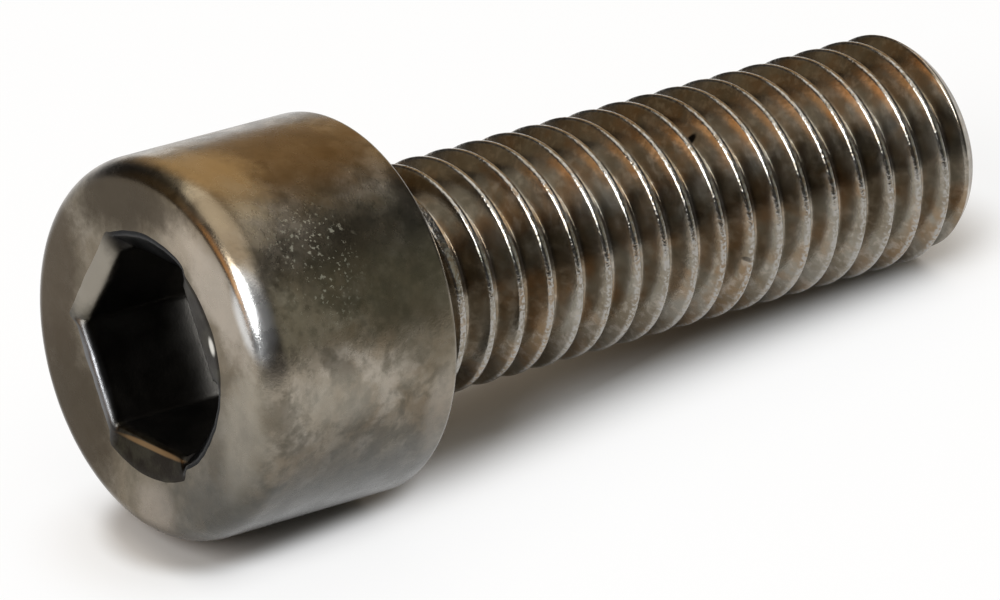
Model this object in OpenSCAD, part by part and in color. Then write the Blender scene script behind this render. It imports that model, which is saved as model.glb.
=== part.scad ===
// Hex socket cap screw, M8 x 25, threaded up to the head.
// It lies as it comes to rest on a table: on the back rim of its head and on its last full thread.
// +X runs from the head to the tip, +Z is up, and the table is the plane z = 0.

/* [Head] */
// Diameter of the plain round head
head_d = 13; // [12.5:0.1:14.5]
// Height of the head, from the bearing face to the flat around the socket
head_h = 8; // [7.4:0.1:9.5]
// Width, across the face, of the rounded front edge
head_edge_w = 1.3; // [0.6:0.1:1.7]
// Depth, along the screw, of the rounded front edge
head_edge_h = 0.6; // [0.3:0.1:1.4]
// Radius of the small rounded edge beside the bearing face
head_rim_r = 0.25; // [0.1:0.05:0.5]

/* [Socket] */
// Width of the hexagon socket across its flats
socket_af = 6; // [5:0.1:6.4]
// Depth of the hexagon, from the face of the head
socket_depth = 4.5; // [4.2:0.1:5]
// Diameter of the countersink where it meets the face
mouth_d = 8.2; // [7.6:0.1:9]
// Slope of the countersink, measured from the face
mouth_slope = 26; // [10:1:40]
// Height of the shallow cone at the bottom of the socket
socket_cone_h = 0.7; // [0.3:0.1:1]
// Turn of the hexagon about the screw
socket_turn = 24; // [0:1:59]

/* [Shank and thread] */
// Length of the shank, from the bearing face to the tip
shank_len = 25; // [16:1:32]
// Outer diameter of the thread
thread_d = 8; // [7.4:0.1:8.6]
// Distance from one thread to the next
pitch = 1.25; // [1:0.05:1.5]
// Radius of the fillet between the shank and the bearing face
neck_r = 0.4; // [0.2:0.05:0.6]
// Bare length of shank before the thread groove starts to sink in
neck_len = 0.5; // [0.4:0.1:2]
// Place of the thread's crest along the lowest line of the shank
crest_offset = 0.04; // [0:0.01:0.3]
// Length of the chamfer at the tip
tip_len = 0.7; // [0.4:0.05:1.2]
// Radial depth of the chamfer at the tip
tip_w = 0.45; // [0.2:0.05:0.7]

/* [Hidden] */

// The thread form is the 60 degree one with a rounded root
flank_slope = tan(30);
groove_depth = 0.6134 * pitch;
root_r = 0.1443 * pitch;
crest_w = pitch / 8;

thread_r = thread_d / 2;
head_r = head_d / 2;

// The groove cutter stands this far proud of the crests, less than would let its turns meet
proud = 0.05 * pitch;
// Facets of the groove in one turn, and the part of a turn in which it sinks to full depth
turn_steps = 22;
sink_turns = 0.5;
// Two facets of the shank to each of the groove's
$fn = 2 * turn_steps;
// Chords across each rounded edge of the turned outline
edge_steps = 7;
// Extra length of a cutter past the face that it opens
past = 1;

// Half outline of the groove from the root to the open side: distance along the screw, radius
root_arc = [for (a = [0 : 30 : 60]) [root_r * sin(a), thread_r - groove_depth + root_r * (1 - cos(a))]];
open_half_w = (pitch - crest_w) / 2 + proud * flank_slope;
half_groove = concat(root_arc, [[open_half_w, thread_r + proud]]);
half_n = len(half_groove);
groove = concat(
    [for (k = [half_n - 1 : -1 : 1]) [-half_groove[k].x, half_groove[k].y]],
    half_groove
);

// The groove's middle runs half a pitch from the crest, from the neck out through the tip
groove_zero = crest_offset + pitch / 2;
first_step = ceil((neck_len + open_half_w - groove_zero) / pitch * turn_steps);
last_step = ceil((shank_len - groove_zero) / pitch * turn_steps) + turn_steps;

// The screw rests on the rim of its head and on the last crest that the tip's chamfer leaves whole
last_crest = crest_offset + crest_w / 2
    + pitch * floor((shank_len - tip_len - crest_offset - crest_w / 2) / pitch);
rest_run = last_crest + head_rim_r;
rest_drop = head_r - head_rim_r - thread_r;
tilt = atan2(rest_drop, rest_run) + asin(head_rim_r / norm([rest_run, rest_drop]));
axis_height = last_crest * sin(tilt) + thread_r * cos(tilt);

// Furthest reach of the head and of the tip along X, which puts the origin under the middle
head_reach = (head_h - head_edge_h) * cos(tilt) + (head_r - head_edge_w) * sin(tilt)
    + norm([head_edge_h * cos(tilt), head_edge_w * sin(tilt)]);
tip_reach = shank_len * cos(tilt) + (thread_r - tip_w) * sin(tilt);

// Quarter of an ellipse about a centre, from angle 0 to 90 or back
function quarter(cx, cy, w, h, from, to) =
    [for (k = [0 : edge_steps]) let (a = from + (to - from) * k / edge_steps)
        [cx + w * cos(a), cy + h * sin(a)]];

// Half outline of the turned blank: radius, distance from the bearing face
function blank_outline() = concat(
    [[0, -head_h]],
    quarter(head_r - head_edge_w, head_edge_h - head_h, head_edge_w, head_edge_h, -90, 0),
    quarter(head_r - head_rim_r, -head_rim_r, head_rim_r, head_rim_r, 0, 90),
    quarter(thread_r + neck_r, neck_r, neck_r, neck_r, -90, -180),
    [[thread_r, shank_len - tip_len], [thread_r - tip_w, shank_len], [0, shank_len]]
);

// A point of the groove's outline, carried round and along the screw; it starts clear of the shank
function groove_point(step, p) =
    let (
        turn = step / turn_steps,
        sunk = (step - first_step) / turn_steps / sink_turns,
        r = p.y + (groove_depth + proud) * max(0, 1 - sunk)
    )
    [r * cos(360 * turn), r * sin(360 * turn), groove_zero + pitch * turn + p.x];

// The head and the shank before the socket and the thread are made
module blank() {
    rotate_extrude() polygon(blank_outline());
}

// What the key's hexagon, the countersink of the mouth and the bottom of the punch take away
module socket() {
    corner_r = socket_af / 2 / cos(30);
    mouth_r = mouth_d / 2;
    mouth_h = mouth_r * tan(mouth_slope);
    translate([0, 0, -head_h]) {
        rotate([0, 0, socket_turn])
            translate([0, 0, -past]) cylinder(r = corner_r, h = past + socket_depth, $fn = 6);
        cylinder(r1 = mouth_r, r2 = 0, h = mouth_h);
        translate([0, 0, -past]) cylinder(r = mouth_r, h = past);
        translate([0, 0, socket_depth]) cylinder(r1 = socket_af / 2, r2 = 0, h = socket_cone_h);
    }
}

// The right-hand thread groove, as one ribbon wound from the neck out through the tip
module thread_groove() {
    n = len(groove);
    rings = last_step - first_step;
    points = [for (i = [0 : rings], p = groove) groove_point(first_step + i, p)];
    sides = [for (i = [0 : rings - 1], j = [0 : n - 1]) let (
            a = i * n + j, b = i * n + (j + 1) % n, c = a + n, d = b + n
        ) each [[a, c, b], [b, c, d]]];
    start_cap = [[for (j = [0 : n - 1]) j]];
    end_cap = [[for (j = [n - 1 : -1 : 0]) rings * n + j]];
    polyhedron(points = points, faces = concat(sides, start_cap, end_cap));
}

// The whole screw, upright on its own axis: head below z = 0, tip up
module upright_screw() {
    difference() {
        blank();
        socket();
        thread_groove();
    }
}

// The screw is forged and rolled from one piece of steel
module screw() {
    color([0.43, 0.39, 0.33])
        translate([(head_reach - tip_reach) / 2, 0, axis_height])
            rotate([0, 90 + tilt, 0])
                upright_screw();
}

screw();
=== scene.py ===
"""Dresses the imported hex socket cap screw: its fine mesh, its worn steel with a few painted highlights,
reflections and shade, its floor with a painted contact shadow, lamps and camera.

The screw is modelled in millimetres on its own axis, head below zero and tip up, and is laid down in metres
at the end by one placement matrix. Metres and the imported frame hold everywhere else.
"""
import logging
import math
from dataclasses import dataclass
from enum import Enum
from typing import Optional, Sequence, Union

import bmesh
import bpy
from mathutils import Euler, Matrix, Vector, noise


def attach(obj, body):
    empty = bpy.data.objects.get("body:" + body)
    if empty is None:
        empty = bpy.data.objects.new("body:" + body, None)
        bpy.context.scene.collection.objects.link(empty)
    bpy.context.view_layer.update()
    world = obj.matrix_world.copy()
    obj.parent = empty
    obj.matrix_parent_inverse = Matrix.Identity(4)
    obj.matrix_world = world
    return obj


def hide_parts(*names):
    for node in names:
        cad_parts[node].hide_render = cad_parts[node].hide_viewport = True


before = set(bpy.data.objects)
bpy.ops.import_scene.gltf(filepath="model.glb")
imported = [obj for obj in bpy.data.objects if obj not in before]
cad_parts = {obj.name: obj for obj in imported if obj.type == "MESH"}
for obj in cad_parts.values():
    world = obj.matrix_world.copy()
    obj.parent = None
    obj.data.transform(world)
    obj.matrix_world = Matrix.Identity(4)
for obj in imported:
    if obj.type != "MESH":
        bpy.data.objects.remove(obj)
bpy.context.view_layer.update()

LOG = logging.getLogger("cap_screw")
NODE = "screw"
BODY = "root"
MM = 0.001
# How far a point may lie from the height that it belongs to, in millimetres
LEVEL_SLACK = 0.01
ZERO = (0.0, 0.0, 0.0)

Value = Union[float, int, Sequence[float], bpy.types.NodeSocket]
Colour = tuple[float, float, float]


class Part(Enum):
    """The regions of the screw that have a finish of their own, in the order of their material slots."""

    HEAD = 0
    SOCKET = 1
    THREAD = 2


class Run(Enum):
    """How the outer end of a lip runs along its flat: round about the axis, or straight beside the wall."""

    ROUND = "round"
    STRAIGHT = "straight"


class Lip(Enum):
    """How a lip goes down to its wall: as the cone of the countersink, or worn to a soft round."""

    CONE = "cone"
    WORN = "worn"


@dataclass(frozen=True)
class ScrewSizes:
    """The sizes of the screw in millimetres, as the part's source has them.

    The source's front edge, edge_w by edge_h, only places the screw. The skin has the worn edge, worn_w
    across the face by worn_h along the screw, and its face stands worn_off behind the source's.
    """

    head_d: float = 13.0
    head_h: float = 8.0
    edge_w: float = 1.3
    edge_h: float = 0.6
    worn_w: float = 0.75
    worn_h: float = 1.05
    worn_off: float = 0.06
    rim_r: float = 0.25
    socket_af: float = 6.0
    socket_depth: float = 4.5
    socket_cone_h: float = 0.7
    socket_turn: float = 24.0
    shank_len: float = 25.0
    thread_d: float = 8.0
    pitch: float = 1.25
    neck_r: float = 0.4
    neck_len: float = 0.5
    crest_offset: float = 0.04
    tip_len: float = 0.7
    tip_w: float = 0.45
    inset: float = 0.006
    root_share: float = 0.1443
    depth_share: float = 0.6134
    crest_share: float = 0.125

    @property
    def head_r(self) -> float:
        """Outer radius of the head, a hair inside the solid's."""
        return self.head_d / 2 - self.inset

    @property
    def face(self) -> float:
        """Place of the worn face along the axis, a hair behind the solid's."""
        return self.worn_off - self.head_h

    @property
    def thread_r(self) -> float:
        """Outer radius of the thread, a hair inside the solid's."""
        return self.thread_d / 2 - self.inset

    @property
    def root_r(self) -> float:
        """Radius of the rounded thread root."""
        return self.root_share * self.pitch

    @property
    def groove_depth(self) -> float:
        """Depth of the thread groove."""
        return self.depth_share * self.pitch

    @property
    def crest_w(self) -> float:
        """Width of the thread's flat crest."""
        return self.crest_share * self.pitch

    @property
    def last_crest(self) -> float:
        """Place of the far edge of the last crest that the tip's chamfer leaves whole."""
        first = self.crest_offset + self.crest_w / 2
        return first + self.pitch * math.floor((self.shank_len - self.tip_len - first) / self.pitch)

    @property
    def tilt(self) -> float:
        """Slope of the axis, in radians, of the screw lying on its head rim and its last full crest."""
        run = self.last_crest + self.rim_r
        drop = self.head_d / 2 - self.rim_r - self.thread_d / 2
        return math.atan2(drop, run) + math.asin(self.rim_r / math.hypot(run, drop))

    @property
    def axis_height(self) -> float:
        """Height of the axis over the table at the bearing face."""
        return self.last_crest * math.sin(self.tilt) + self.thread_d / 2 * math.cos(self.tilt)

    @property
    def shift(self) -> float:
        """Place of the bearing face's centre along X, with the origin under the middle of the screw."""
        slope = self.tilt
        head = (
            (self.head_h - self.edge_h) * math.cos(slope)
            + (self.head_d / 2 - self.edge_w) * math.sin(slope)
            + math.hypot(self.edge_h * math.cos(slope), self.edge_w * math.sin(slope))
        )
        tip = self.shank_len * math.cos(slope) + (self.thread_d / 2 - self.tip_w) * math.sin(slope)
        return (head - tip) / 2

    def turn(self) -> Euler:
        """Turn that lays the upright screw down."""
        return Euler((0.0, math.pi / 2 + self.tilt, 0.0))

    def centre(self) -> Vector:
        """Centre of the bearing face in the row frame, in metres."""
        return Vector((self.shift, 0.0, self.axis_height)) * MM

    def placement(self) -> Matrix:
        """Matrix from millimetres on the screw's axis to metres in the row frame."""
        return Matrix.Translation(self.centre()) @ self.turn().to_matrix().to_4x4() @ Matrix.Scale(MM, 4)


class NodeBench:
    """Adds nodes to one tree and links them."""

    def __init__(self, tree: bpy.types.NodeTree) -> None:
        """Keeps the tree.

        Args:
            tree: The shader or geometry tree to build in.
        """
        self.tree = tree

    def feed(self, socket: bpy.types.NodeSocket, value: Optional[Value]) -> None:
        """Links or sets one input.

        Args:
            socket: The input to feed.
            value: A socket to link, a plain value to set, or None to leave it alone.
        """
        if value is None:
            return
        if isinstance(value, bpy.types.NodeSocket):
            self.tree.links.new(value, socket)
        elif isinstance(value, (int, float)) or socket.type != "RGBA":
            socket.default_value = value
        else:
            socket.default_value = (*value, 1.0)[:4]

    def node(self, kind: str, inputs: Optional[dict] = None, **settings) -> bpy.types.Node:
        """Adds a node.

        Args:
            kind: The node's type name.
            inputs: Values by input name or index.
            **settings: Properties to set on the node before its inputs.

        Returns:
            The new node.
        """
        made = self.tree.nodes.new(kind)
        for name, setting in settings.items():
            setattr(made, name, setting)
        for key, value in (inputs or {}).items():
            self.feed(made.inputs[key], value)
        return made

    def group(self, tree: bpy.types.NodeTree, inputs: dict[str, Value]) -> bpy.types.NodeOutputs:
        """Places a node group and returns its outputs."""
        return self.node("ShaderNodeGroup", inputs, node_tree=tree).outputs

    def math(self, operation: str, *values: Value) -> bpy.types.NodeSocket:
        """Adds a Math node and returns its result."""
        made = self.node("ShaderNodeMath", operation=operation)
        for socket, value in zip(made.inputs, values):
            self.feed(socket, value)
        return made.outputs[0]

    def vector(self, operation: str, first: Value, second: Value) -> bpy.types.NodeSocket:
        """Adds a Vector Math node and returns its vector."""
        return self.node("ShaderNodeVectorMath", {0: first, 1: second}, operation=operation).outputs[0]

    def hypot(self, first: Value, second: Value) -> bpy.types.NodeSocket:
        """Length of a flat vector by its two sides."""
        squares = [self.math("POWER", side, 2.0) for side in (first, second)]
        return self.math("SQRT", self.math("ADD", *squares))

    def past(self, value: Value, limit: float) -> bpy.types.NodeSocket:
        """How far a value's size reaches past a limit, and 0 within it."""
        return self.math("MAXIMUM", self.math("SUBTRACT", self.math("ABSOLUTE", value), limit), 0.0)

    def axes(self, vector: Value) -> bpy.types.NodeOutputs:
        """The three numbers of a vector."""
        return self.node("ShaderNodeSeparateXYZ", {0: vector}).outputs

    def ramp(
        self, value: Value, low: Value, high: Value, to_low: float = 0.0, to_high: float = 1.0
    ) -> bpy.types.NodeSocket:
        """Maps a value smoothly from one range to another.

        Args:
            value: The value to map.
            low: Start of its range.
            high: End of its range.
            to_low: Result at the start.
            to_high: Result at the end.

        Returns:
            The mapped value's socket.
        """
        inputs = {"Value": value, "From Min": low, "From Max": high, "To Min": to_low, "To Max": to_high}
        return self.node("ShaderNodeMapRange", inputs, interpolation_type="SMOOTHSTEP").outputs["Result"]

    def mix(self, factor: Value, first: Value, second: Value, blend: str = "MIX") -> bpy.types.NodeSocket:
        """Mixes two colours, by the share of the second one."""
        made = self.node("ShaderNodeMix", {0: factor}, data_type="RGBA", blend_type=blend)
        self.feed(made.inputs[6], first)
        self.feed(made.inputs[7], second)
        return made.outputs[2]

    def mix_value(self, factor: Value, first: Value, second: Value) -> bpy.types.NodeSocket:
        """Blends two numbers, by the share of the second one."""
        rest = self.math("MULTIPLY", first, self.math("SUBTRACT", 1.0, factor))
        return self.math("MULTIPLY_ADD", second, factor, rest)

    def noise(
        self, vector: Value, scale: Value, detail: float, rough: float, seed: Value, warp: float = 0.0
    ) -> bpy.types.NodeSocket:
        """Adds a noise texture.

        Args:
            vector: Where to read it.
            scale: Its scale, in cycles for each unit of the vector.
            detail: Octaves of detail.
            rough: Weight of the finer octaves.
            seed: Fixed seed of the pattern.
            warp: How far the pattern is drawn out of shape.

        Returns:
            The noise value's socket, around 0.5.
        """
        inputs = {"Vector": vector, "W": seed, "Scale": scale, "Detail": detail, "Roughness": rough,
                  "Distortion": warp}
        return self.node("ShaderNodeTexNoise", inputs, noise_dimensions="4D").outputs[0]


class Effects:
    """The shader node groups that the finishes share, with vectors in millimetres on the screw's axis."""

    WANDER_GAIN = 3.0

    def __init__(self) -> None:
        """Builds each group once."""
        self.mottle = self._clouds("steel_mottle", detail=5.0, rough=0.62, warp=0.3)
        self.specks = self._clouds("steel_specks", detail=3.0, rough=0.6, warp=0.0)
        self.patch = self._patch()
        self.grain = self._grain()

    @staticmethod
    def _start(
        name: str, inputs: dict[str, Value], result: str
    ) -> tuple[NodeBench, bpy.types.NodeOutputs, bpy.types.NodeSocket]:
        """Starts a node group with one number as its result.

        Args:
            name: The group's name.
            inputs: Default of each input by name, a number or a vector.
            result: The result's name.

        Returns:
            The group's bench, the sockets that give its inputs and the one that takes its result.
        """
        group = bpy.data.node_groups.new(name, "ShaderNodeTree")
        for label, value in inputs.items():
            kind = "NodeSocketFloat" if isinstance(value, float) else "NodeSocketVector"
            group.interface.new_socket(label, in_out="INPUT", socket_type=kind).default_value = value
        group.interface.new_socket(result, in_out="OUTPUT", socket_type="NodeSocketFloat")
        bench = NodeBench(group)
        return bench, bench.node("NodeGroupInput").outputs, bench.node("NodeGroupOutput").inputs[0]

    def _clouds(self, name: str, detail: float, rough: float, warp: float) -> bpy.types.NodeTree:
        """Blotches or specks, as old oil, heat and damp leave them on steel.

        Args:
            name: The group's name.
            detail: Octaves of detail.
            rough: Weight of the finer octaves.
            warp: How far the pattern is drawn out of shape.

        Returns:
            The group, whose mask is 1 where the noise stands above its high level.
        """
        inputs = {"Vector": ZERO, "Scale": 1.0, "Seed": 0.0, "Low": 0.4, "High": 0.6}
        bench, given, mask = self._start(name, inputs, "Mask")
        cells = bench.noise(given["Vector"], given["Scale"], detail, rough, given["Seed"], warp)
        bench.feed(mask, bench.ramp(cells, given["Low"], given["High"]))
        return bench.tree

    def _patch(self) -> bpy.types.NodeTree:
        """One stained place, or place of painted light or shade, with a wandering edge, by its reach across,
        around and along the screw.
        """
        inputs = {"Vector": ZERO, "Centre": ZERO, "Reach": (1.0, 1.0, 1.0), "Turn": 0.0, "Wander": 0.5,
                  "Edge": 0.5}
        bench, given, mask = self._start("steel_patch", inputs, "Mask")
        off = bench.vector("SUBTRACT", given["Vector"], given["Centre"])
        back = bench.math("MULTIPLY", given["Turn"], -math.pi / 180)
        turned = bench.node("ShaderNodeVectorRotate", {"Vector": off, "Angle": back}, rotation_type="Z_AXIS")
        scaled = bench.vector("DIVIDE", turned.outputs[0], given["Reach"])
        far = bench.node("ShaderNodeVectorMath", {0: scaled}, operation="LENGTH").outputs["Value"]
        wobble = bench.math("SUBTRACT", bench.noise(given["Vector"], 0.9, 5.0, 0.65, 7.0), 0.5)
        wander = bench.math("MULTIPLY", given["Wander"], self.WANDER_GAIN)
        far = bench.math("MULTIPLY_ADD", wobble, wander, far)
        low = bench.math("SUBTRACT", 1.0, given["Edge"])
        high = bench.math("ADD", 1.0, given["Edge"])
        bench.feed(mask, bench.math("SUBTRACT", 1.0, bench.ramp(far, low, high)))
        return bench.tree

    def _grain(self) -> bpy.types.NodeTree:
        """Height of the fine pitting and the faint marks of forming."""
        bench, given, height = self._start("steel_grain", {"Vector": ZERO}, "Height")
        coarse = bench.noise(given["Vector"], 1.6, 4.0, 0.6, 3.0)
        fine = bench.noise(given["Vector"], 11.0, 4.0, 0.7, 5.0)
        bench.feed(height, bench.math("ADD", coarse, fine))
        return bench.tree


@dataclass(frozen=True)
class Coat:
    """One mottled coat over a whole finish: soft blotches of a colour, by their size and their cover."""

    colour: Colour
    blotch_mm: float
    level: float
    softness: float
    strength: float
    seed: float


@dataclass(frozen=True)
class StainAndPaintedLight:
    """One stained place, or one place of painted highlight, reflection or shade, by its place along the
    screw, its turn from the top and its distance from the axis.

    Along is in millimetres from the bearing face towards the head's face, turn in degrees from the top
    towards the camera, and reach in millimetres on each side, across, around and along the screw.
    """

    along: float
    turn: float
    radius: float
    reach: tuple[float, float, float]
    colour: Colour
    strength: float = 1.0
    wander: float = 0.5
    edge: float = 0.4

    def centre(self) -> tuple[float, float, float]:
        """Centre of the stain or painted light on the screw's axis, in millimetres."""
        angle = math.radians(self.turn + 180.0)
        return (self.radius * math.cos(angle), self.radius * math.sin(angle), -self.along)


@dataclass(frozen=True)
class Band:
    """A tone that comes in between two places along the screw, in millimetres from the bearing face."""

    start: float
    end: float
    colour: Colour
    strength: float


@dataclass(frozen=True)
class Specks:
    """A place strewn with small pale specks, which are rougher and less metallic than the steel."""

    place: StainAndPaintedLight
    cells_per_mm: float = 6.0
    low: float = 0.57
    high: float = 0.63
    rougher: float = 0.25
    duller: float = 0.5


@dataclass(frozen=True)
class Rubbed:
    """Crests rubbed bright, from a distance from the axis outwards, with dull pits left in them."""

    start: float
    width: float
    colour: Colour
    rough: float
    pit_depth: float
    cells_per_mm: float = 7.0
    pit_level: float = 0.44
    bright_level: float = 0.56
    pit_share: float = 0.1


@dataclass(frozen=True)
class SteelFinish:
    """A worn steel: its bare colour, its coats, its stains and the painted highlights, reflections and shade
    laid on like stains, and how rough it is. Colours are linear.
    """

    name: str
    bare: Colour
    coats: tuple[Coat, ...]
    bands: tuple[Band, ...]
    stains_and_painted_light: tuple[StainAndPaintedLight, ...]
    rough_low: float
    rough_high: float
    grain: float
    seed: float
    specks: Optional[Specks] = None
    rubbed: Optional[Rubbed] = None
    cloud_cells_per_mm: float = 0.9
    grain_depth_mm: float = 0.01


class SteelPainter:
    """Paints one finish. Each step changes the colour, roughness, metal or height that it finds."""

    def __init__(self, finish: SteelFinish, effects: Effects, sizes: ScrewSizes) -> None:
        """Starts the material with bare steel.

        Args:
            finish: The finish to paint.
            effects: The shared node groups.
            sizes: The screw's sizes, which place the patterns.
        """
        self.finish = finish
        self.effects = effects
        self.made = bpy.data.materials.new(finish.name)
        self.made.use_nodes = True
        self.bench = NodeBench(self.made.node_tree)
        where = self.bench.node("ShaderNodeTexCoord").outputs["Object"]
        axis = {"Vector": where, "Location": sizes.centre(), "Rotation": sizes.turn(), "Scale": (MM, MM, MM)}
        self.place = self.bench.node("ShaderNodeMapping", axis, vector_type="TEXTURE").outputs[0]
        cloud = self.bench.noise(self.place, finish.cloud_cells_per_mm, 4.0, 0.6, finish.seed)
        self.colour: Value = finish.bare
        self.rough: Value = self.bench.ramp(cloud, 0.3, 0.7, finish.rough_low, finish.rough_high)
        self.metal: Value = 1.0
        self.height: Value = self.bench.group(effects.grain, {"Vector": self.place})["Height"]

    def paint(self) -> bpy.types.Material:
        """Lays on the coats, bands, stains, painted light and specks and rubs the crests.

        Returns:
            The finished material.
        """
        bench, finish = self.bench, self.finish
        for coat in finish.coats:
            inputs = {"Scale": 1.0 / coat.blotch_mm, "Seed": coat.seed + finish.seed,
                      "Low": coat.level - coat.softness, "High": coat.level + coat.softness}
            mask = self._mask(self.effects.mottle, inputs)
            self._cover(bench.math("MULTIPLY", mask, coat.strength), coat.colour)
        along = bench.math("MULTIPLY", bench.axes(self.place)[2], -1.0)
        for band in finish.bands:
            self._cover(bench.ramp(along, band.start, band.end, 0.0, band.strength), band.colour)
        for stain_and_painted_light in finish.stains_and_painted_light:
            self._cover(self._share(stain_and_painted_light), stain_and_painted_light.colour)
        if finish.specks:
            self._strew(finish.specks)
        if finish.rubbed:
            self._rub(finish.rubbed)
        relief = {"Strength": finish.grain, "Distance": finish.grain_depth_mm * MM, "Height": self.height}
        bump = bench.node("ShaderNodeBump", relief)
        shader = self.made.node_tree.nodes["Principled BSDF"]
        bench.feed(shader.inputs["Base Color"], self.colour)
        bench.feed(shader.inputs["Roughness"], self.rough)
        bench.feed(shader.inputs["Metallic"], self.metal)
        bench.feed(shader.inputs["Normal"], bump.outputs["Normal"])
        return self.made

    def _mask(self, effect: bpy.types.NodeTree, inputs: dict[str, Value]) -> bpy.types.NodeSocket:
        """Places one of the effects on the screw and returns its mask."""
        return self.bench.group(effect, {"Vector": self.place, **inputs})["Mask"]

    def _cover(self, share: bpy.types.NodeSocket, colour: Colour) -> None:
        """Lays a share of a colour over the last one."""
        self.colour = self.bench.mix(share, self.colour, colour)

    def _share(self, stain_and_painted_light: StainAndPaintedLight) -> bpy.types.NodeSocket:
        """Returns how much of a stain or painted light lies at each point, from 0 to its strength."""
        inputs = {"Centre": stain_and_painted_light.centre(), "Reach": stain_and_painted_light.reach, "Turn": stain_and_painted_light.turn,
                  "Wander": stain_and_painted_light.wander, "Edge": stain_and_painted_light.edge}
        return self.bench.math("MULTIPLY", self._mask(self.effects.patch, inputs), stain_and_painted_light.strength)

    def _strew(self, specks: Specks) -> None:
        """Strews specks of corrosion over their place."""
        inputs = {"Scale": specks.cells_per_mm, "Seed": self.finish.seed, "Low": specks.low,
                  "High": specks.high}
        mask = self._mask(self.effects.specks, inputs)
        share = self.bench.math("MULTIPLY", self._share(specks.place), mask)
        self._cover(share, specks.place.colour)
        self.rough = self.bench.math("MULTIPLY_ADD", share, specks.rougher, self.rough)
        self.metal = self.bench.math("MULTIPLY_ADD", share, -specks.duller, self.metal)

    def _rub(self, rubbed: Rubbed) -> None:
        """Rubs the crests bright and leaves pits in them."""
        bench = self.bench
        across = bench.axes(self.place)
        radius = bench.hypot(across[0], across[1])
        crest = bench.ramp(radius, rubbed.start, rubbed.start + rubbed.width)
        pits = bench.noise(self.place, rubbed.cells_per_mm, 3.0, 0.6, self.finish.seed)
        bright = bench.ramp(pits, rubbed.pit_level, rubbed.bright_level, rubbed.pit_share, 1.0)
        self._cover(bench.math("MULTIPLY", crest, bright), rubbed.colour)
        self.rough = bench.mix_value(crest, self.rough, rubbed.rough)
        raised = bench.math("MULTIPLY", crest, bench.math("SUBTRACT", pits, 0.5))
        self.height = bench.math("MULTIPLY_ADD", raised, rubbed.pit_depth, self.height)


def add_object(name: str, data: bpy.types.ID) -> bpy.types.Object:
    """Makes an object and puts it in the scene."""
    made = bpy.data.objects.new(name, data)
    bpy.context.scene.collection.objects.link(made)
    return made


class RingSkin:
    """A skin built ring by ring about the screw's axis, closed round and open or capped at its ends."""

    def __init__(self, count: int) -> None:
        """Starts an empty skin.

        Args:
            count: Points in each full ring.
        """
        self.count = count
        self.mesh = bmesh.new()
        self.rings: list[list[bmesh.types.BMVert]] = []

    def ring(self, radii: Sequence[float], heights: Sequence[float], part: Part) -> None:
        """Adds a ring and joins it to the last one.

        Args:
            radii: Radius at each point.
            heights: Place along the axis at each point.
            part: The region that the new band of faces belongs to.
        """
        step = math.tau / self.count
        points = [
            self.mesh.verts.new((r * math.cos(i * step), r * math.sin(i * step), z))
            for i, (r, z) in enumerate(zip(radii, heights))
        ]
        if self.rings:
            last = self.rings[-1]
            for i in range(self.count):
                j = (i + 1) % self.count
                face = self.mesh.faces.new((last[i], last[j], points[j], points[i]))
                face.material_index = part.value
        self.rings.append(points)

    def even_ring(self, radius: float, height: float, part: Part) -> None:
        """Adds a round level ring."""
        self.ring([radius] * self.count, [height] * self.count, part)

    def cap(self, height: float, part: Part) -> None:
        """Closes the last ring with a fan to a point on the axis."""
        centre = self.mesh.verts.new((0.0, 0.0, height))
        last = self.rings[-1]
        for i in range(self.count):
            face = self.mesh.faces.new((last[i], last[(i + 1) % self.count], centre))
            face.material_index = part.value


@dataclass(frozen=True)
class MouthFlat:
    """How the face ends at one flat of the socket: where the lip starts and where the wall stands.

    Reach and wall are distances from the axis at the flat's middle, and drop is the depth at which the lip
    meets the wall.
    """

    reach: float
    wall: float
    drop: float
    run: Run
    lip: Lip


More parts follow.
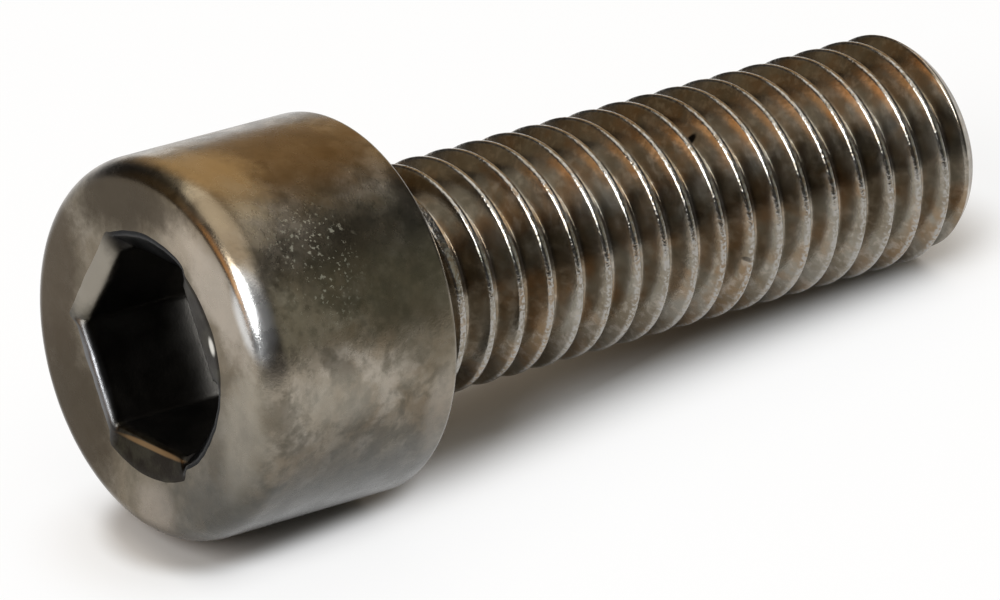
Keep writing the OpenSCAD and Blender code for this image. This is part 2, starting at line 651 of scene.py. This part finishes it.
@dataclass
class HeadAndSocket:
    """The plain round head with its worn hexagon socket."""

    sizes: ScrewSizes
    around: int = 240
    edge_steps: int = 14
    rim_steps: int = 6
    side_steps: int = 14
    lip_steps: int = 12
    bearing_rings: tuple[float, ...] = (4.9, 5.6)
    face_shares: tuple[float, ...] = (0.35, 0.7, 1.0)
    wall_shares: tuple[float, ...] = (0.1, 0.3, 0.6, 1.0)
    bottom_shares: tuple[float, ...] = (0.97, 0.7, 0.35)
    mouth_margin: float = 0.08
    least_lip: float = 0.05
    raggedness: tuple[tuple[float, float], ...] = ((0.06, 3.1), (0.03, 11.0), (0.015, 27.0))
    flats: tuple[MouthFlat, ...] = (
        MouthFlat(3.38, 3.15, 0.24, Run.STRAIGHT, Lip.WORN),
        MouthFlat(3.70, 3.10, 0.45, Run.STRAIGHT, Lip.WORN),
        MouthFlat(4.10, 3.03, 0.95, Run.ROUND, Lip.CONE),
        MouthFlat(3.92, 3.05, 0.12, Run.ROUND, Lip.CONE),
        MouthFlat(3.93, 3.03, 0.95, Run.ROUND, Lip.CONE),
        MouthFlat(4.24, 3.12, 0.18, Run.ROUND, Lip.CONE),
    )

    def build(self) -> RingSkin:
        """Builds the skin from the neck's fillet round the head and down to the bottom of the socket.

        Returns:
            The skin, open only where the thread joins it.
        """
        skin = RingSkin(self.around)
        self._neck_and_back(skin)
        self._side_and_front(skin)
        self._mouth_and_walls(skin)
        return skin

    def _neck_and_back(self, skin: RingSkin) -> None:
        """Adds the fillet, the bearing face and the small back rim."""
        s = self.sizes
        for k in range(self.rim_steps + 1):
            angle = math.pi / 2 * k / self.rim_steps
            radius = s.thread_r + s.neck_r * (1 - math.cos(angle))
            skin.even_ring(radius, s.neck_r * (1 - math.sin(angle)), Part.HEAD)
        for radius in self.bearing_rings:
            skin.even_ring(radius, 0.0, Part.HEAD)
        for k in range(self.rim_steps + 1):
            angle = math.pi / 2 * k / self.rim_steps
            radius = s.head_r - s.rim_r * (1 - math.sin(angle))
            skin.even_ring(radius, -s.rim_r * (1 - math.cos(angle)), Part.HEAD)

    def _side_and_front(self, skin: RingSkin) -> None:
        """Adds the side and the worn front edge."""
        s = self.sizes
        start, end = -s.rim_r, s.face + s.worn_h
        for k in range(1, self.side_steps):
            skin.even_ring(s.head_r, start + (end - start) * k / self.side_steps, Part.HEAD)
        for k in range(self.edge_steps + 1):
            angle = math.pi / 2 * k / self.edge_steps
            radius = s.head_r - s.worn_w * (1 - math.cos(angle))
            skin.even_ring(radius, end - s.worn_h * math.sin(angle), Part.HEAD)

    def _flat_at(self, index: int) -> tuple[MouthFlat, float]:
        """Returns the flat that a ring's point belongs to, and its angle from the flat's middle."""
        angle = 360.0 * index / self.around - self.sizes.socket_turn
        return self.flats[int(angle // 60.0) % 6], math.radians(angle % 60.0 - 30.0)

    def _ragged(self, index: int, seed: float) -> float:
        """Returns a small wandering length in millimetres, the same at each run."""
        angle = math.tau * index / self.around
        where = Vector((math.cos(angle), math.sin(angle), seed))
        return sum(size * noise.noise(where * waves) for size, waves in self.raggedness)

    @staticmethod
    def _fall(lip: Lip, share: float) -> tuple[float, float]:
        """Returns the shares of a lip's width and drop that lie behind a share of the way down it."""
        if lip is Lip.WORN:
            return math.sin(share * math.pi / 2), 1 - math.cos(share * math.pi / 2)
        cone = share * share / (share * share + 0.02) * (share + 0.02)
        return share, 0.93 * cone + 0.07 * share ** 12

    def _lip_ring(self, share: float) -> tuple[list[float], list[float]]:
        """Returns the radii and depths of a ring of the lips, by its share of the way from face to wall."""
        radii, depths = [], []
        for i in range(self.around):
            flat, off = self._flat_at(i)
            wall = flat.wall / math.cos(off)
            reach = flat.reach / math.cos(off) if flat.run is Run.STRAIGHT else flat.reach
            reach = max(reach, wall + self.least_lip) + self._ragged(i, 1.0)
            inward, down = self._fall(flat.lip, share)
            radii.append(reach - (reach - wall) * inward)
            depths.append(flat.drop * down * (1 + self._ragged(i, 5.0)))
        return self._eased(radii), self._eased(depths)

    def _eased(self, values: list[float]) -> list[float]:
        """Evens out a ring of values a little, which rounds the corners of the hexagon."""
        n = len(values)
        return [(values[i - 1] + 2 * values[i] + values[(i + 1) % n]) / 4 for i in range(n)]

    def _mouth_and_walls(self, skin: RingSkin) -> None:
        """Adds the flat of the face, the worn lips, the six walls and the conical bottom."""
        s = self.sizes
        face = s.face
        edge = s.head_r - s.worn_w
        mouths, _ = self._lip_ring(0.0)
        for k in self.face_shares:
            radii = [edge + (m + self.mouth_margin - edge) * k for m in mouths]
            skin.ring(radii, [face] * self.around, Part.HEAD)
        for k in range(self.lip_steps + 1):
            radii, depths = self._lip_ring(k / self.lip_steps)
            skin.ring(radii, [face + d for d in depths], Part.SOCKET)
        walls, tops = self._lip_ring(1.0)
        for k in self.wall_shares:
            skin.ring(walls, [face + d + (s.socket_depth - d) * k for d in tops], Part.SOCKET)
        for share in self.bottom_shares:
            low = face + s.socket_depth + s.socket_cone_h * (1 - share)
            skin.ring([w * share for w in walls], [low] * self.around, Part.SOCKET)
        skin.cap(face + s.socket_depth + s.socket_cone_h, Part.SOCKET)


@dataclass
class ThreadedShank:
    """The rolled thread: one ribbon wound by Geometry Nodes from the neck to the tip."""

    sizes: ScrewSizes
    around: int = 120
    across: int = 24
    sink_turns: float = 0.5
    crest_soft: float = 0.07
    clear_share: float = 1.1
    weld: float = 0.002

    FLANK_ANGLE = math.radians(60)
    INPUTS = ("Turns", "First turn", "Pitch", "Outer radius", "Groove depth", "Root radius", "Groove start",
              "Neck end", "Length", "Chamfer length", "Chamfer depth", "Sink from", "Sink turns",
              "Crest softness")

    def values(self) -> dict[str, float]:
        """Gives the value of each of the tree's inputs by name."""
        s = self.sizes
        half_open = (s.pitch - s.crest_w) / 2
        zero = s.crest_offset + s.pitch / 2
        first = math.floor((s.neck_r - zero) / s.pitch - 1.0)
        turns = math.ceil((s.shank_len - zero) / s.pitch + 1.0) - first
        numbers = (turns, first, s.pitch, s.thread_r, s.groove_depth, s.root_r, zero, s.neck_r, s.shank_len,
                   s.tip_len, s.tip_w, (s.neck_len + half_open - zero) / s.pitch, self.sink_turns,
                   self.crest_soft)
        return dict(zip(self.INPUTS, map(float, numbers)))

    def _tree(self, turns: int) -> bpy.types.NodeTree:
        """Builds the tree that winds a ribbon of so many turns into the thread."""
        tree = bpy.data.node_groups.new("wound_thread", "GeometryNodeTree")
        for label in self.INPUTS:
            tree.interface.new_socket(label, in_out="INPUT", socket_type="NodeSocketFloat")
        tree.interface.new_socket("Steel", in_out="INPUT", socket_type="NodeSocketMaterial")
        tree.interface.new_socket("Geometry", in_out="OUTPUT", socket_type="NodeSocketGeometry")
        bench = NodeBench(tree)
        m = bench.math
        given = bench.node("NodeGroupInput").outputs
        steps = turns * self.around
        grid = bench.node(
            "GeometryNodeMeshGrid",
            {"Size X": 1.0, "Size Y": 1.0, "Vertices X": steps + 1, "Vertices Y": self.across + 1},
        )
        spot = bench.axes(bench.node("GeometryNodeInputPosition").outputs[0])
        step = m("ROUND", m("MULTIPLY", m("ADD", spot[0], 0.5), steps))
        turn = m("ADD", m("DIVIDE", step, self.around), given["First turn"])
        column = m("ROUND", m("MULTIPLY", m("ADD", spot[1], 0.5), self.across))
        share = m("DIVIDE", m("ADD", column, 0.5), self.across)
        raw = m("SUBTRACT", m("ADD", turn, share), 0.5)
        raw = m("MULTIPLY_ADD", raw, given["Pitch"], given["Groove start"])
        high = m("MINIMUM", m("MAXIMUM", raw, given["Neck end"]), given["Length"])
        radius = self._radius(bench, given, turn, high)
        angle = m("MULTIPLY", turn, math.tau)
        right = m("MULTIPLY", radius, m("COSINE", angle))
        up = m("MULTIPLY", radius, m("SINE", angle))
        place = bench.node("ShaderNodeCombineXYZ", {0: right, 1: up, 2: high}).outputs[0]
        moved = bench.node("GeometryNodeSetPosition", {"Geometry": grid.outputs["Mesh"], "Position": place})
        part = moved.outputs[0]
        for kind, inputs in (
            ("GeometryNodeMergeByDistance", {"Distance": self.weld}),
            ("GeometryNodeRealizeInstances", {}),
            ("GeometryNodeSetMaterial", {"Material": given["Steel"]}),
        ):
            part = bench.node(kind, {"Geometry": part, **inputs}).outputs[0]
        bench.node("NodeGroupOutput", {"Geometry": part})
        return tree

    def _radius(
        self,
        bench: NodeBench,
        given: bpy.types.NodeOutputs,
        turn: bpy.types.NodeSocket,
        high: bpy.types.NodeSocket,
    ) -> bpy.types.NodeSocket:
        """Adds the nodes that give the shank's radius at a turn and a height.

        Args:
            bench: The tree's bench.
            given: The tree's input sockets by name.
            turn: Turn of the point about the axis.
            high: Height of the point along it.

        Returns:
            The radius's socket.
        """
        m = bench.math
        outer, root_r, depth = given["Outer radius"], given["Root radius"], given["Groove depth"]
        wound = m("SUBTRACT", m("DIVIDE", m("SUBTRACT", high, given["Groove start"]), given["Pitch"]), turn)
        whole = m("ROUND", wound)
        off = m("MULTIPLY", m("ABSOLUTE", m("SUBTRACT", wound, whole)), given["Pitch"])
        root = m("SUBTRACT", outer, depth)
        chord = m("SUBTRACT", m("POWER", root_r, 2.0), m("POWER", off, 2.0))
        arc = m("SUBTRACT", m("ADD", root, root_r), m("SQRT", m("MAXIMUM", chord, 0.0)))
        knee = m("MULTIPLY", root_r, math.sin(self.FLANK_ANGLE))
        knee_r = m("MULTIPLY_ADD", root_r, 0.5, root)
        flank = m("MULTIPLY_ADD", m("SUBTRACT", off, knee), math.tan(self.FLANK_ANGLE), knee_r)
        groove = bench.mix_value(m("LESS_THAN", off, knee), flank, arc)
        sunk = m("DIVIDE", m("SUBTRACT", m("ADD", whole, turn), given["Sink from"]), given["Sink turns"])
        lift = m("SUBTRACT", 1.0, m("MINIMUM", m("MAXIMUM", sunk, 0.0), 1.0))
        groove = m("MULTIPLY_ADD", lift, m("MULTIPLY", depth, self.clear_share), groove)
        past_shoulder = m("ADD", m("SUBTRACT", high, given["Length"]), given["Chamfer length"])
        chamfer = m("DIVIDE", m("MULTIPLY", past_shoulder, given["Chamfer depth"]), given["Chamfer length"])
        worn = m("SMOOTH_MIN", outer, groove, given["Crest softness"])
        return m("SMOOTH_MIN", worn, m("SUBTRACT", outer, chamfer), given["Crest softness"])

    def build(self, steel: bpy.types.Material) -> bpy.types.Mesh:
        """Winds the thread and turns it into a plain mesh.

        Args:
            steel: The thread's finish.

        Returns:
            The mesh, open at the neck and at the tip.
        """
        values = self.values()
        blank = add_object("thread_blank", bpy.data.meshes.new("thread_blank"))
        tree = self._tree(round(values["Turns"]))
        modifier = blank.modifiers.new("wound_thread", "NODES")
        modifier.node_group = tree
        sockets = {item.name: item.identifier for item in tree.interface.items_tree if item.in_out == "INPUT"}
        for label, value in values.items():
            modifier[sockets[label]] = value
        modifier[sockets["Steel"]] = steel
        bpy.context.view_layer.update()
        seen = blank.evaluated_get(bpy.context.evaluated_depsgraph_get())
        mesh = bpy.data.meshes.new_from_object(seen)
        blank.modifiers.remove(modifier)
        bpy.data.objects.remove(blank)
        return mesh


@dataclass
class CapScrew:
    """The whole screw: head, socket and thread in one closed skin."""

    sizes: ScrewSizes
    effects: Effects
    finishes: dict[Part, SteelFinish]
    tip_rings: tuple[float, ...] = (0.88, 0.6, 0.3)
    weld: float = 0.003

    def build(self) -> bpy.types.Object:
        """Builds the screw, dresses it and lays it down in its place.

        Returns:
            The finished object, at the origin.
        """
        steels = {
            part: SteelPainter(finish, self.effects, self.sizes).paint()
            for part, finish in self.finishes.items()
        }
        head = HeadAndSocket(self.sizes).build()
        thread = ThreadedShank(self.sizes).build(steels[Part.THREAD])
        skin = head.mesh
        before = set(skin.faces)
        skin.from_mesh(thread)
        for face in skin.faces:
            if face not in before:
                face.material_index = Part.THREAD.value
        self._join(skin, head)
        self._close_tip(skin)
        for face in skin.faces:
            face.smooth = True
        bmesh.ops.recalc_face_normals(skin, faces=skin.faces)
        open_edges = sum(1 for edge in skin.edges if not edge.is_manifold)
        LOG.info("cap screw: %d faces, %d open edges", len(skin.faces), open_edges)
        mesh = bpy.data.meshes.new("cap_screw")
        skin.to_mesh(mesh)
        skin.free()
        bpy.data.meshes.remove(thread)
        mesh.transform(self.sizes.placement())
        for part in Part:
            mesh.materials.append(steels[part])
        return add_object("cap_screw", mesh)

    def _join(self, skin: bmesh.types.BMesh, head: RingSkin) -> None:
        """Joins the thread's open ring to the fillet's first ring, which has twice its points.

        Args:
            skin: The skin that holds both.
            head: The head's rings, the first of which is the fillet's.
        """
        inner = head.rings[0]
        known = set(inner)
        level = self.sizes.neck_r
        loose = [
            v for v in skin.verts
            if v.is_boundary and abs(v.co.z - level) < LEVEL_SLACK and v not in known
        ]
        loose.sort(key=lambda v: math.atan2(v.co.y, v.co.x) % math.tau)
        LOG.info("thread's ring of %d points meets the head's ring of %d", len(loose), len(inner))
        bmesh.ops.remove_doubles(skin, verts=list(inner) + loose, dist=self.weld)
        bmesh.ops.holes_fill(skin, edges=self._open_edges(skin, level), sides=3)

    @staticmethod
    def _open_edges(skin: bmesh.types.BMesh, level: float) -> list[bmesh.types.BMEdge]:
        """Lists the skin's open edges at one height."""
        return [
            edge for edge in skin.edges
            if edge.is_boundary and all(abs(v.co.z - level) < LEVEL_SLACK for v in edge.verts)
        ]

    def _close_tip(self, skin: bmesh.types.BMesh) -> None:
        """Closes the tip with a few inner rings and a fan."""
        level = self.sizes.shank_len
        rim = self._open_edges(skin, level)
        last = 1.0
        for share in self.tip_rings:
            made = bmesh.ops.extrude_edge_only(skin, edges=rim)["geom"]
            verts = [g for g in made if isinstance(g, bmesh.types.BMVert)]
            for v in verts:
                v.co.x *= share / last
                v.co.y *= share / last
            last = share
            rim = [g for g in made if isinstance(g, bmesh.types.BMEdge) and g.is_boundary]
        verts = list({v for e in rim for v in e.verts})
        centre = skin.verts.new((0.0, 0.0, level))
        for edge in rim:
            skin.faces.new((*edge.verts, centre))
        for v in verts:
            for face in v.link_faces:
                face.material_index = Part.THREAD.value


def direction(azimuth: float, height: float) -> Vector:
    """Direction of a place in the sky, from its azimuth and its height in degrees."""
    a, h = math.radians(azimuth), math.radians(height)
    return Vector((math.cos(a) * math.cos(h), math.sin(a) * math.cos(h), math.sin(h)))


@dataclass(frozen=True)
class Lamp:
    """One round area lamp, by its place in the sky in degrees and its distance and size in metres."""

    name: str
    azimuth: float
    height: float
    distance: float
    size: float
    watts: float
    colour: Colour

    def build(self, aim: Vector) -> None:
        """Adds the lamp to the scene.

        Args:
            aim: The point that it looks at, in metres.
        """
        data = bpy.data.lights.new(self.name, "AREA")
        data.shape = "DISK"
        data.size = self.size
        data.energy = self.watts
        data.color = self.colour
        lamp = add_object(self.name, data)
        way = direction(self.azimuth, self.height)
        lamp.location = aim + way * self.distance
        lamp.rotation_euler = (-way).to_track_quat("-Z", "Y").to_euler()


@dataclass(frozen=True)
class SkyGlow:
    """One soft glow in the sky, by the direction of its middle, its spread in degrees and its colour."""

    azimuth: float
    height: float
    spread: float
    colour: Colour


@dataclass(frozen=True)
class FloorShade:
    """How the floor darkens beside the screw, by the distance from lines that run under it, in metres.

    The lift is the white that the camera and the steel see in the open floor. It fades towards the screw,
    so that the shadow stays. The tone is a painted contact shadow: it colours the floor close to the screw
    and under the head's rim, and leaves out the stretch behind the head where the shank stands clear of the
    floor.
    """

    lift: float = 0.82
    lift_near: float = 0.0011
    lift_far: float = 0.0048
    screw_half: float = 0.0165
    # Colour of the painted contact shadow close to the screw
    tone: Colour = (0.45, 0.41, 0.37)
    shadow_near: float = 0.0003
    shadow_far: float = 0.0015
    shadow_half: float = 0.0143
    clear_from: tuple[float, float] = (-0.0092, -0.0078)
    clear_to: tuple[float, float] = (0.0, 0.007)
    # The painted contact shadow under the head's rim: its place, its reach and the least open floor colour
    # left in it
    head_x: float = -0.0119
    head_half: float = 0.0028
    head_shadow_near: float = 0.0021
    head_shadow_far: float = 0.0034
    head_shadow_least: float = 0.25
    head_lift_near: float = 0.0022
    head_lift_far: float = 0.0036

    @staticmethod
    def _away(bench: NodeBench, spot: bpy.types.NodeOutputs, half: float, middle: float = 0.0) -> Value:
        """Distance on the floor from a line under the axis, by the line's half length and its middle."""
        return bench.hypot(bench.past(bench.math("ADD", spot[0], -middle), half), spot[1])

    def build(
        self, bench: NodeBench, spot: bpy.types.NodeOutputs
    ) -> tuple[bpy.types.NodeSocket, bpy.types.NodeSocket]:
        """Adds the nodes that shade the floor.

        Args:
            bench: The floor material's bench.
            spot: The numbers of the place on the floor.

        Returns:
            The share of the open floor's colour against the painted shadow's tone, and the share of the white
            lift.
        """
        away = self._away(bench, spot, self.screw_half)
        lift = bench.ramp(away, self.lift_near, self.lift_far, 0.0, self.lift)
        # Painted contact shadow: the floor's colour turns to the tone close to the screw and under the head's
        # rim
        open_share = bench.ramp(self._away(bench, spot, self.shadow_half), self.shadow_near, self.shadow_far)
        starts = bench.ramp(spot[0], *self.clear_from)
        ends = bench.ramp(spot[0], *self.clear_to, 1.0, 0.0)
        open_share = bench.math("MAXIMUM", open_share, bench.math("MULTIPLY", starts, ends))
        by_head = self._away(bench, spot, self.head_half, self.head_x)
        head_share = bench.ramp(by_head, self.head_shadow_near, self.head_shadow_far, self.head_shadow_least, 1.0)
        open_share = bench.math("MULTIPLY", open_share, head_share)
        lift = bench.math("MULTIPLY", lift, bench.ramp(by_head, self.head_lift_near, self.head_lift_far))
        return open_share, lift


@dataclass
class Studio:
    """The floor, the sky, the lamps and the camera, whose eye and aim are in millimetres."""

    floor_size: float = 6.0
    floor_tone: Colour = (0.93, 0.93, 0.93)
    shade: FloorShade = FloorShade()
    horizon: Colour = (0.08, 0.08, 0.082)
    glows: tuple[SkyGlow, ...] = (
        SkyGlow(0.0, 90.0, 42.0, (0.5, 0.47, 0.42)),
        SkyGlow(47.0, 26.0, 38.0, (0.56, 0.38, 0.18)),
        SkyGlow(169.0, 22.0, 18.0, (1.35, 0.74, 0.29)),
        SkyGlow(130.0, 23.0, 28.0, (0.18, 0.12, 0.045)),
        SkyGlow(-44.0, 18.0, 30.0, (0.34, 0.34, 0.28)),
    )
    lamps: tuple[Lamp, ...] = (
        Lamp("key", -156.0, 38.0, 0.6, 0.3, 2.8, (0.95, 0.975, 1.0)),
        Lamp("overhead", 0.0, 88.0, 0.8, 1.1, 3.2, (1.0, 0.985, 0.96)),
    )
    eye: tuple[float, float, float] = (-172.329, -215.58, 163.523)
    aim: tuple[float, float, float] = (-4.143, -3.341, 6.482)
    lens_per_width: float = 9.4147
    sensor: float = 36.0

    def build(self) -> None:
        """Builds the whole studio."""
        bpy.context.scene.view_settings.view_transform = "Standard"
        self._floor()
        self._sky()
        self._camera()
        for lamp in self.lamps:
            lamp.build(Vector((0.0, 0.0, 0.0)))

    def _floor(self) -> None:
        """Adds the pale floor with its painted contact shadow, which also shows white to the camera and to
        the steel.
        """
        half = self.floor_size / 2
        mesh = bpy.data.meshes.new("floor")
        corners = [(-half, -half, 0), (half, -half, 0), (half, half, 0), (-half, half, 0)]
        mesh.from_pydata(corners, [], [(0, 1, 2, 3)])
        floor = add_object("floor", mesh)
        paper = bpy.data.materials.new("paper")
        paper.use_nodes = True
        bench = NodeBench(paper.node_tree)
        shader = paper.node_tree.nodes["Principled BSDF"]
        shader.inputs["Roughness"].default_value = 0.9
        shader.inputs["Specular IOR Level"].default_value = 0.0
        path = bench.node("ShaderNodeLightPath").outputs
        seen = bench.math("MAXIMUM", path["Is Camera Ray"], path["Is Glossy Ray"])
        white = bench.node("ShaderNodeEmission", {"Color": (1.0, 1.0, 1.0), "Strength": 1.0})
        spot = bench.axes(bench.node("ShaderNodeTexCoord").outputs["Object"])
        open_share, lift = self.shade.build(bench, spot)
        # The paper's colour, turned to the painted contact shadow's tone beside the screw
        bench.feed(shader.inputs["Base Color"], bench.mix(open_share, self.shade.tone, self.floor_tone))
        lift = bench.math("MULTIPLY", seen, lift)
        mixed = bench.node("ShaderNodeMixShader", {0: lift, 1: shader.outputs[0], 2: white.outputs[0]})
        bench.feed(paper.node_tree.nodes["Material Output"].inputs["Surface"], mixed.outputs[0])
        mesh.materials.append(paper)

    def _sky(self) -> None:
        """Adds a dark sky with a few soft glows, which shows white to the camera alone."""
        sky = bpy.data.worlds.new("sky")
        bpy.context.scene.world = sky
        sky.use_nodes = True
        sky.node_tree.nodes.clear()
        bench = NodeBench(sky.node_tree)
        way = bench.node("ShaderNodeTexCoord").outputs["Generated"]
        tone: Value = self.horizon
        for glow in self.glows:
            middle = direction(glow.azimuth, glow.height)
            near = bench.node("ShaderNodeVectorMath", {0: way, 1: middle}, operation="DOT_PRODUCT")
            share = bench.ramp(near.outputs["Value"], math.cos(math.radians(glow.spread)), 1.0)
            tone = bench.mix(share, tone, glow.colour, "ADD")
        shade = bench.node("ShaderNodeBackground", {"Color": tone, "Strength": 1.0})
        plain = bench.node("ShaderNodeBackground", {"Color": (1.0, 1.0, 1.0), "Strength": 1.0})
        path = bench.node("ShaderNodeLightPath").outputs
        sides = {0: path["Is Camera Ray"], 1: shade.outputs[0], 2: plain.outputs[0]}
        mixed = bench.node("ShaderNodeMixShader", sides)
        bench.node("ShaderNodeOutputWorld", {"Surface": mixed.outputs[0]})

    def _camera(self) -> None:
        """Adds the camera at the photograph's place, framed for 1000 by 600."""
        data = bpy.data.cameras.new("camera")
        data.sensor_width = self.sensor
        data.sensor_fit = "HORIZONTAL"
        data.lens = self.lens_per_width * self.sensor
        data.clip_start = 0.01
        data.clip_end = 20.0
        camera = add_object("camera", data)
        eye, aim = Vector(self.eye) * MM, Vector(self.aim) * MM
        camera.location = eye
        camera.rotation_euler = (aim - eye).to_track_quat("-Z", "Y").to_euler()
        bpy.context.scene.camera = camera


BROWN = (0.15, 0.1, 0.05)
OLIVE = (0.065, 0.06, 0.04)
UMBER = (0.1, 0.085, 0.062)
PALE = (0.5, 0.455, 0.395)
TAUPE = (0.3, 0.26, 0.205)
SCALE = (0.06, 0.056, 0.05)
# Near-black for two lips of the socket's mouth
NEAR_BLACK = (0.006, 0.006, 0.007)
CRUST = (0.014, 0.01, 0.006)
DIRT = (0.01, 0.009, 0.008)

HEAD_STEEL = SteelFinish(
    name="head_steel",
    bare=TAUPE,
    coats=(
        Coat(BROWN, 3.4, 0.52, 0.1, 0.6, 1.0),
        Coat(PALE, 2.0, 0.56, 0.08, 0.5, 7.0),
        Coat(UMBER, 1.3, 0.54, 0.07, 0.65, 17.0),
        Coat(OLIVE, 0.45, 0.56, 0.1, 0.4, 13.0),
    ),
    bands=(Band(7.55, 7.95, (0.14, 0.115, 0.08), 0.6),),
    stains_and_painted_light=(
        # Painted reflection: the side darkened where it mirrors the dark band of the sky
        StainAndPaintedLight(2.4, 46.0, 6.5, (2.0, 2.2, 3.0), (0.09, 0.085, 0.06), 0.6),
        StainAndPaintedLight(3.4, 4.0, 6.5, (3.0, 2.4, 3.2), (0.15, 0.1, 0.047), 0.75),
        StainAndPaintedLight(6.6, 8.0, 6.3, (1.6, 2.6, 1.5), (0.5, 0.41, 0.27), 0.7),
        # Painted reflection: the lower side darkened where it mirrors the shadowed floor beside the head
        StainAndPaintedLight(3.6, 142.0, 6.5, (2.0, 3.6, 6.0), (0.08, 0.083, 0.08), 0.85, 0.3, 0.6),
        StainAndPaintedLight(8.0, 42.0, 5.0, (0.9, 2.6, 0.8), (0.5, 0.44, 0.37), 0.65),
        StainAndPaintedLight(8.0, 14.0, 4.9, (0.8, 1.5, 0.8), (0.44, 0.37, 0.29), 0.6),
        # Partly polished steel, partly a painted highlight: pale steel laid just where the key lamp's streak
        # falls on the front edge
        StainAndPaintedLight(7.7, 55.0, 6.15, (0.6, 1.5, 0.6), (0.74, 0.74, 0.73), 0.8, 0.15, 0.3),
        StainAndPaintedLight(7.4, 24.0, 6.2, (0.9, 1.6, 0.7), (0.16, 0.12, 0.075), 0.7, 0.4, 0.4),
        StainAndPaintedLight(8.0, 96.0, 5.3, (1.0, 2.4, 0.8), (0.45, 0.41, 0.34), 0.5),
        StainAndPaintedLight(8.0, 168.0, 5.3, (0.8, 1.1, 0.8), (0.38, 0.33, 0.28), 0.5),
        StainAndPaintedLight(8.0, -18.0, 5.4, (1.5, 3.0, 0.8), (0.055, 0.041, 0.025), 0.9),
        StainAndPaintedLight(8.0, 228.0, 5.0, (1.8, 3.0, 0.8), (0.052, 0.038, 0.022), 0.9),
        StainAndPaintedLight(8.0, 275.0, 5.4, (1.6, 3.0, 0.8), (0.07, 0.052, 0.033), 0.85),
        StainAndPaintedLight(0.5, 100.0, 6.5, (1.4, 1.6, 0.7), PALE, 0.35),
        # Painted reflection: the lower front darkened where it mirrors the shadowed floor
        StainAndPaintedLight(4.0, 126.0, 6.5, (5.5, 3.8, 5.5), (0.06, 0.06, 0.055), 0.65, 0.3, 0.6),
        # Painted reflection: darker near the back rim, where the side mirrors the dark sky
        StainAndPaintedLight(1.0, 72.0, 6.5, (1.4, 1.6, 2.0), (0.12, 0.105, 0.075), 0.6, 0.4, 0.6),
        StainAndPaintedLight(4.6, 85.0, 6.5, (2.2, 0.9, 2.0), (0.5, 0.47, 0.4), 0.25, 0.4, 0.6),
    ),
    specks=Specks(StainAndPaintedLight(4.7, 44.0, 6.5, (1.8, 1.7, 1.5), (0.42, 0.42, 0.34), 0.6, 0.6, 0.5)),
    rough_low=0.19, rough_high=0.32, grain=0.5, seed=1.0,
)
SOCKET_STEEL = SteelFinish(
    name="socket_steel",
    bare=CRUST,
    coats=(Coat(OLIVE, 0.8, 0.52, 0.12, 0.4, 3.0),),
    bands=(Band(7.8, 7.3, SCALE, 1.0),),
    stains_and_painted_light=(
        StainAndPaintedLight(7.9, 234.0, 3.62, (0.8, 1.9, 0.32), (0.2, 0.2, 0.205), 0.85, 0.2),
        StainAndPaintedLight(7.9, 294.0, 3.6, (0.8, 1.8, 0.5), (0.34, 0.31, 0.26), 0.8, 0.3),
        # Near-black on two lips of the mouth
        StainAndPaintedLight(7.7, -6.0, 3.6, (1.0, 2.2, 1.0), NEAR_BLACK, 1.0, 0.1, 0.2),
        StainAndPaintedLight(7.7, 114.0, 3.5, (1.0, 2.1, 1.0), NEAR_BLACK, 1.0, 0.1, 0.2),
        # Painted reflection: a thin orange line on the lower lip of the mouth, where that rim catches warm
        # light
        StainAndPaintedLight(8.0, 172.0, 3.3, (0.1, 1.7, 0.5), (0.3, 0.18, 0.08), 0.6, 0.15, 0.3),
        # Painted highlight: a small near-white glint on the lip of the mouth
        StainAndPaintedLight(8.0, 62.0, 3.75, (0.16, 0.3, 0.4), (0.8, 0.78, 0.72), 0.9, 0.2),
    ),
    rough_low=0.3, rough_high=0.42, grain=0.6, seed=21.0,
)
THREAD_STEEL = SteelFinish(
    name="thread_steel",
    bare=(0.27, 0.25, 0.21),
    coats=(
        Coat((0.13, 0.09, 0.045), 2.4, 0.48, 0.12, 0.6, 5.0),
        Coat((0.3, 0.17, 0.07), 1.5, 0.54, 0.1, 0.4, 25.0),
        Coat(PALE, 0.35, 0.56, 0.08, 0.35, 9.0),
    ),
    bands=(),
    stains_and_painted_light=(
        StainAndPaintedLight(-13.95, 19.0, 3.7, (0.8, 0.16, 0.2), DIRT, 1.0, 0.03, 0.2),
        StainAndPaintedLight(-14.6, 94.7, 3.8, (0.8, 0.09, 0.1), DIRT, 0.6, 0.03, 0.2),
    ),
    rough_low=0.16, rough_high=0.26, grain=0.4, seed=41.0,
    rubbed=Rubbed(start=3.86, width=0.1, colour=(0.34, 0.325, 0.3), rough=0.1, pit_depth=5.0),
)


def main() -> None:
    """Builds the screw and the studio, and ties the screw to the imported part."""
    logging.basicConfig(level=logging.INFO, format="%(name)s: %(message)s")
    sizes = ScrewSizes()
    effects = Effects()
    finishes = {Part.HEAD: HEAD_STEEL, Part.SOCKET: SOCKET_STEEL, Part.THREAD: THREAD_STEEL}
    screw = CapScrew(sizes, effects, finishes).build()
    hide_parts(NODE)
    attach(screw, BODY)
    LOG.info("cap screw rides on %s", BODY)
    Studio().build()


if __name__ == "__main__":
    main()
